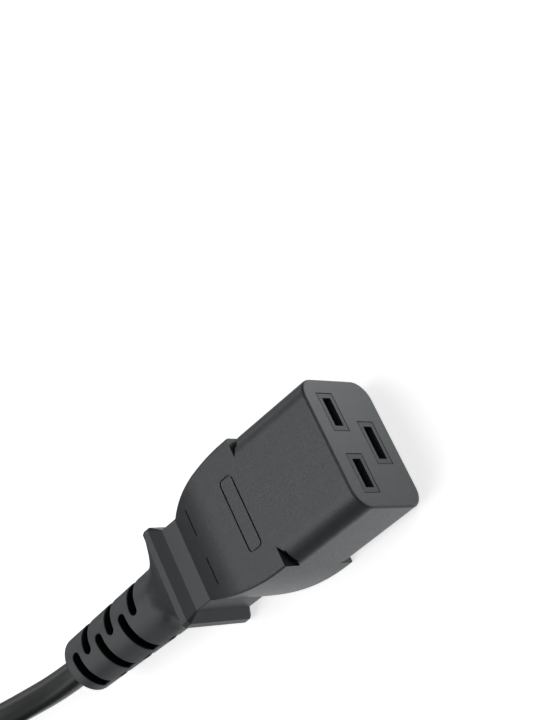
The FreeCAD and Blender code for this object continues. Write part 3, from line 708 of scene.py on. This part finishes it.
class CONNECTOR_OT_cord(bpy.types.Operator):
    """Lay the cord as one smooth tube from the strain relief, through its coil, to the plug"""

    bl_idname = "connector.cord"
    bl_label = "Cord"

    def execute(self, context):
        settings = context.scene.connector_cord
        points = [*LEAD, *coil_points(settings.turns), *TAIL]
        data = bpy.data.curves.new("cord", "CURVE")
        data.dimensions = "3D"
        spline = data.splines.new("NURBS")
        spline.points.add(len(points) - 1)
        for control, place in zip(spline.points, points):
            control.co = (*(Vector(place) * MM), 1.0)
        spline.order_u = 3
        spline.use_endpoint_u = True
        spline.resolution_u = 8
        data.bevel_depth = settings.diameter / 2
        data.bevel_resolution = 8
        data.use_fill_caps = True
        cord = bpy.data.objects.new("cord_whole", data)
        context.scene.collection.objects.link(cord)
        jacket = cord_jacket("cord jacket", settings.level)
        give_material(cord, jacket)
        for name in ("jacket_end", "plug_jacket_end"):
            dress_node(name, jacket)
        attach(cord, "root")
        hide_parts("cord", "cord_coil", "cord_tail")
        return {"FINISHED"}


# ------------------------------------------------------------------ stage

FOCAL_LENGTH = 90.33
SENSOR_WIDTH = 36.0
CAMERA_PLACE = (0.2110, -0.111655, 0.268366)
CAMERA_RIGHT = Vector((0.63997, -0.40129, -0.65529))
CAMERA_UP = Vector((0.56393, 0.82455, 0.04580))
# Each lamp's place, target, size both ways and power.
LAMPS = {
    "back softbox": ((-0.4, 0.07, 0.88), (-0.02, 0.13, 0.0), (1.04, 0.56), 4.75),
    "front softbox": ((0.96, 0.24, 0.62), (0.0, 0.0, 0.0), (0.7, 0.7), 2.5),
    "left softbox": ((-0.47, 0.72, 0.23), (0.0, 0.0, 0.0), (0.6, 0.4), 0.7),
    "sleeve softbox": ((-0.088, -0.058, 0.064), (-0.02, -0.003, 0.012), (0.08, 0.08), 0.024),
}
FLOOR_HALF_WIDTH = 3.0
FLOOR_DROP = 0.2 * MM
# How white the floor is to the eye: below the object, far away, and where it changes.
NEAR_WHITE, FAR_WHITE = 0.66, 0.91
WHITE_FROM, WHITE_FADE = 0.3, 1.0
# What the floor shows in gloss: a level, which counts GLOSS_LOW times at a low angle and once more
# towards upright, its tint, and two soft glows, each with its place, reach and level.
GLOSS_LEVEL = 0.66
GLOSS_LOW = 0.36
UPRIGHT_FROM, UPRIGHT_FADE = 0.5, 0.25
SHEEN_TINT = {"Red": 0.97, "Green": 1.0, "Blue": 1.02}
FRONT_GLOW = ((60.0 * MM, 40.0 * MM, 0.0), 85.0 * MM, 1.75)
CORD_GLOW = ((-85.0 * MM, -38.0 * MM, 0.0), 60.0 * MM, 2.0)


def add_camera():
    data = bpy.data.cameras.new("camera")
    data.lens = FOCAL_LENGTH
    data.sensor_width = SENSOR_WIDTH
    camera = bpy.data.objects.new("camera", data)
    back = CAMERA_RIGHT.cross(CAMERA_UP)
    turn = Matrix((CAMERA_RIGHT, CAMERA_UP, back)).transposed().to_4x4()
    camera.matrix_world = Matrix.Translation(CAMERA_PLACE) @ turn
    bpy.context.scene.collection.objects.link(camera)
    bpy.context.scene.camera = camera


def add_lamp(name, place, target, size, power):
    """A rectangular soft lamp that faces a target."""
    data = bpy.data.lights.new(name, "AREA")
    data.shape = "RECTANGLE"
    data.size, data.size_y = size
    data.energy = power
    thing = bpy.data.objects.new(name, data)
    thing.location = place
    thing.rotation_euler = (Vector(target) - Vector(place)).to_track_quat("-Z", "Y").to_euler()
    thing.visible_camera = False
    bpy.context.scene.collection.objects.link(thing)


def add_daylight(strength):
    """A world that is white to the eye and gives a dim even light."""
    world = bpy.data.worlds.new("studio")
    world.use_nodes = True
    tree = Tree(world.node_tree)
    to_eye = tree.add("ShaderNodeLightPath", output="Is Camera Ray")
    background = tree.add(
        "ShaderNodeBackground", Color=(1.0, 1.0, 1.0, 1.0), Strength=to_eye.greatest(strength)
    )
    tree.close("ShaderNodeOutputWorld", background)
    bpy.context.scene.world = world


def floor_distance(shader, place=(0.0, 0.0, 0.0)):
    """How far a point of the floor is from a place on it."""
    along, across, _ = shader.axes(place)
    return distance(along, across)


def glow(shader, place, reach, level):
    """A soft round patch of light on the floor."""
    near = (1.0 - floor_distance(shader, place) / reach).clamped()
    return level * near * near


def white_floor():
    """White to the eye; in gloss it shines mostly straight up, with a soft glow in two places."""
    shader = Shader("white floor")
    to_eye = shader.add("ShaderNodeLightPath", output="Is Camera Ray")
    in_gloss = shader.add("ShaderNodeLightPath", output="Is Glossy Ray")
    whitening = floor_distance(shader).past(WHITE_FROM, WHITE_FADE)
    seen = (NEAR_WHITE + (FAR_WHITE - NEAR_WHITE) * whitening) * to_eye
    upright = 1.0 - shader.add("ShaderNodeLayerWeight", output="Facing", Blend=0.5)
    upward = GLOSS_LOW + upright.past(UPRIGHT_FROM, UPRIGHT_FADE)
    shine = upward * (GLOSS_LEVEL + glow(shader, *FRONT_GLOW)) + glow(shader, *CORD_GLOW)
    shone = shine * in_gloss
    channels = {channel: seen + share * shone for channel, share in SHEEN_TINT.items()}
    emission = shader.add("ShaderNodeCombineColor", **channels)
    return shader.finish(
        Base_Color=shader.blend(in_gloss, colour(0.8), BLACK),
        Roughness=0.9,
        Emission_Color=emission,
        Emission_Strength=1.0,
    )


def add_floor():
    half = FLOOR_HALF_WIDTH
    mesh = bpy.data.meshes.new("floor")
    corners = [(-half, -half, 0), (half, -half, 0), (half, half, 0), (-half, half, 0)]
    mesh.from_pydata(corners, [], [(0, 1, 2, 3)])
    floor = bpy.data.objects.new("floor", mesh)
    floor.location.z = -FLOOR_DROP
    bpy.context.scene.collection.objects.link(floor)
    give_material(floor, white_floor())


class CONNECTOR_OT_stage(bpy.types.Operator):
    """Set the camera, the lamps, the even light from all round and the white floor"""

    bl_idname = "connector.stage"
    bl_label = "Stage"

    def execute(self, context):
        add_camera()
        for name, facts in LAMPS.items():
            add_lamp(name, *facts)
        add_daylight(context.scene.connector_stage.daylight)
        add_floor()
        context.scene.view_settings.view_transform = "Standard"
        return {"FINISHED"}


# ------------------------------------------------------------------ add-on

STEPS = (
    CONNECTOR_OT_overmould,
    CONNECTOR_OT_carrier,
    CONNECTOR_OT_metal,
    CONNECTOR_OT_strands,
    CONNECTOR_OT_cores,
    CONNECTOR_OT_cord,
    CONNECTOR_OT_stage,
)
SETTINGS = {
    "connector_moulding": MouldingSettings,
    "connector_strands": StrandSettings,
    "connector_cord": CordSettings,
    "connector_stage": StageSettings,
}


class CONNECTOR_PT_panel(bpy.types.Panel):
    """Settings and steps of the connector"""

    bl_idname = "CONNECTOR_PT_panel"
    bl_label = "C19 power connector"
    bl_space_type = "VIEW_3D"
    bl_region_type = "UI"
    bl_category = "Connector"

    def draw(self, context):
        layout = self.layout
        for group in SETTINGS:
            settings = getattr(context.scene, group)
            for name in type(settings).__annotations__:
                layout.prop(settings, name)
        for step in STEPS:
            layout.operator(step.bl_idname)


def register():
    for group in (*SETTINGS.values(), *STEPS, CONNECTOR_PT_panel):
        bpy.utils.register_class(group)
    for name, group in SETTINGS.items():
        setattr(bpy.types.Scene, name, bpy.props.PointerProperty(type=group))


def unregister():
    for name in SETTINGS:
        delattr(bpy.types.Scene, name)
    for group in (CONNECTOR_PT_panel, *reversed(STEPS), *SETTINGS.values()):
        bpy.utils.unregister_class(group)


def main():
    register()
    for step in STEPS:
        category, action = step.bl_idname.split(".")
        getattr(getattr(bpy.ops, category), action)()


if __name__ == "__main__":
    main()
